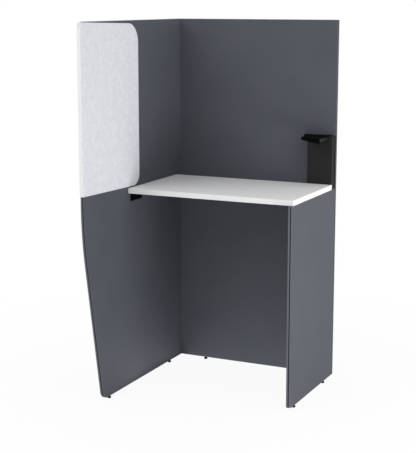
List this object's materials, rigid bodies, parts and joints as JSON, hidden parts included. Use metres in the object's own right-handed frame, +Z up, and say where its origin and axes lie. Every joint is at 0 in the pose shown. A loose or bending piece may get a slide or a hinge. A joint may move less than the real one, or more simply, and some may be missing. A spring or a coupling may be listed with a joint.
{
  "type": "office booth",
  "caption": "Standing-height work booth: tall slate side and back panels, white worktop on a short end panel, grey felt over the front edge and a black cable riser with a tray.",
  "frame": {"origin": "on the floor, in the middle of the booth's plan", "axes": "+Z up, -Y out of the open front, the tall side panel at -X"},
  "size_m": [0.876, 1.004, 1.8],
  "materials": {
    "dark_board": "melamine-faced particle board, matt slate grey",
    "dark_edge": "ABS edge band, matt slate grey",
    "white_board": "melamine-faced particle board, satin white",
    "white_edge": "ABS edge band, satin white",
    "felt": "pressed polyester felt, mottled light grey",
    "felt_tape": "double-sided woven tape",
    "black_steel": "black powder coat",
    "charcoal_steel": "charcoal fine-texture powder coat",
    "black_plastic": "moulded black, matt",
    "zinc_steel": "zinc plated or blackened fasteners",
    "beech": "plain turned dowel",
    "cap_plastic": "moulded slate grey cap"
  },
  "bodies": {
    "booth": {"left_panel": "dark_board", "back_panel": "dark_board", "right_panel": "dark_board", "left_panel_edge_band": "dark_edge", "back_panel_edge_band": "dark_edge", "right_panel_edge_band": "dark_edge", "worktop": "white_board", "worktop_edge_band": "white_edge", "felt_cover": "felt", "felt_tapes": "felt_tape", "desk_bracket_left_front": "black_steel", "desk_bracket_left_rear": "black_steel", "desk_bracket_right_front": "black_steel", "desk_bracket_right_rear": "black_steel", "riser_back_plate": "charcoal_steel", "riser_cover": "charcoal_steel", "riser_tray_bracket": "charcoal_steel", "device_tray": "black_plastic", "foot_inserts": "zinc_steel", "joint_bolts_left": "zinc_steel", "joint_bolts_right": "zinc_steel", "joint_nuts_left": "zinc_steel", "joint_nuts_right": "zinc_steel", "bracket_panel_screws": "zinc_steel", "bracket_desk_screws": "zinc_steel", "riser_screws": "zinc_steel", "tray_screws": "zinc_steel", "joint_dowels_left": "beech", "joint_dowels_right": "beech", "joint_bolt_caps_left": "cap_plastic", "joint_bolt_caps_right": "cap_plastic"},
    "pad_left_front": {"foot_pad_left_front": "black_plastic"},
    "stud_left_front": {"foot_stud_left_front": "zinc_steel"},
    "pad_left_rear": {"foot_pad_left_rear": "black_plastic"},
    "stud_left_rear": {"foot_stud_left_rear": "zinc_steel"},
    "pad_back_left": {"foot_pad_back_left": "black_plastic"},
    "stud_back_left": {"foot_stud_back_left": "zinc_steel"},
    "pad_back_right": {"foot_pad_back_right": "black_plastic"},
    "stud_back_right": {"foot_stud_back_right": "zinc_steel"},
    "pad_right_front": {"foot_pad_right_front": "black_plastic"},
    "stud_right_front": {"foot_stud_right_front": "zinc_steel"},
    "pad_right_rear": {"foot_pad_right_rear": "black_plastic"},
    "stud_right_rear": {"foot_stud_right_rear": "zinc_steel"}
  },
  "joints": [
    {"name": "level_left_front", "type": "slide", "parent": "booth", "child": "pad_left_front", "axis": [0, 0, -1], "range_m": [0, 0.01]},
    {"name": "screw_left_front", "type": "hinge", "parent": "pad_left_front", "child": "stud_left_front", "pos_m": [-0.428, -0.2835, 0.012], "axis": [0, 0, -1], "range_deg": [0, 3610]},
    {"name": "level_left_rear", "type": "slide", "parent": "booth", "child": "pad_left_rear", "axis": [0, 0, -1], "range_m": [0, 0.01]},
    {"name": "screw_left_rear", "type": "hinge", "parent": "pad_left_rear", "child": "stud_left_rear", "pos_m": [-0.428, 0.3555, 0.012], "axis": [0, 0, -1], "range_deg": [0, 3610]},
    {"name": "level_back_left", "type": "slide", "parent": "booth", "child": "pad_back_left", "axis": [0, 0, -1], "range_m": [0, 0.01]},
    {"name": "screw_back_left", "type": "hinge", "parent": "pad_back_left", "child": "stud_back_left", "pos_m": [-0.2785, 0.493, 0.012], "axis": [0, 0, -1], "range_deg": [0, 3610]},
    {"name": "level_back_right", "type": "slide", "parent": "booth", "child": "pad_back_right", "axis": [0, 0, -1], "range_m": [0, 0.01]},
    {"name": "screw_back_right", "type": "hinge", "parent": "pad_back_right", "child": "stud_back_right", "pos_m": [0.2945, 0.493, 0.012], "axis": [0, 0, -1], "range_deg": [0, 3610]},
    {"name": "level_right_front", "type": "slide", "parent": "booth", "child": "pad_right_front", "axis": [0, 0, -1], "range_m": [0, 0.01]},
    {"name": "screw_right_front", "type": "hinge", "parent": "pad_right_front", "child": "stud_right_front", "pos_m": [0.429, -0.0285, 0.012], "axis": [0, 0, -1], "range_deg": [0, 3610]},
    {"name": "level_right_rear", "type": "slide", "parent": "booth", "child": "pad_right_rear", "axis": [0, 0, -1], "range_m": [0, 0.01]},
    {"name": "screw_right_rear", "type": "hinge", "parent": "pad_right_rear", "child": "stud_right_rear", "pos_m": [0.429, 0.3735, 0.012], "axis": [0, 0, -1], "range_deg": [0, 3610]}
  ],
  "couplings": [
    {"joint": "screw_left_front", "follows": "level_left_front", "rad_per_m": 6283.2},
    {"joint": "screw_left_rear", "follows": "level_left_rear", "rad_per_m": 6283.2},
    {"joint": "screw_back_left", "follows": "level_back_left", "rad_per_m": 6283.2},
    {"joint": "screw_back_right", "follows": "level_back_right", "rad_per_m": 6283.2},
    {"joint": "screw_right_front", "follows": "level_right_front", "rad_per_m": 6283.2},
    {"joint": "screw_right_rear", "follows": "level_right_rear", "rad_per_m": 6283.2}
  ]
}
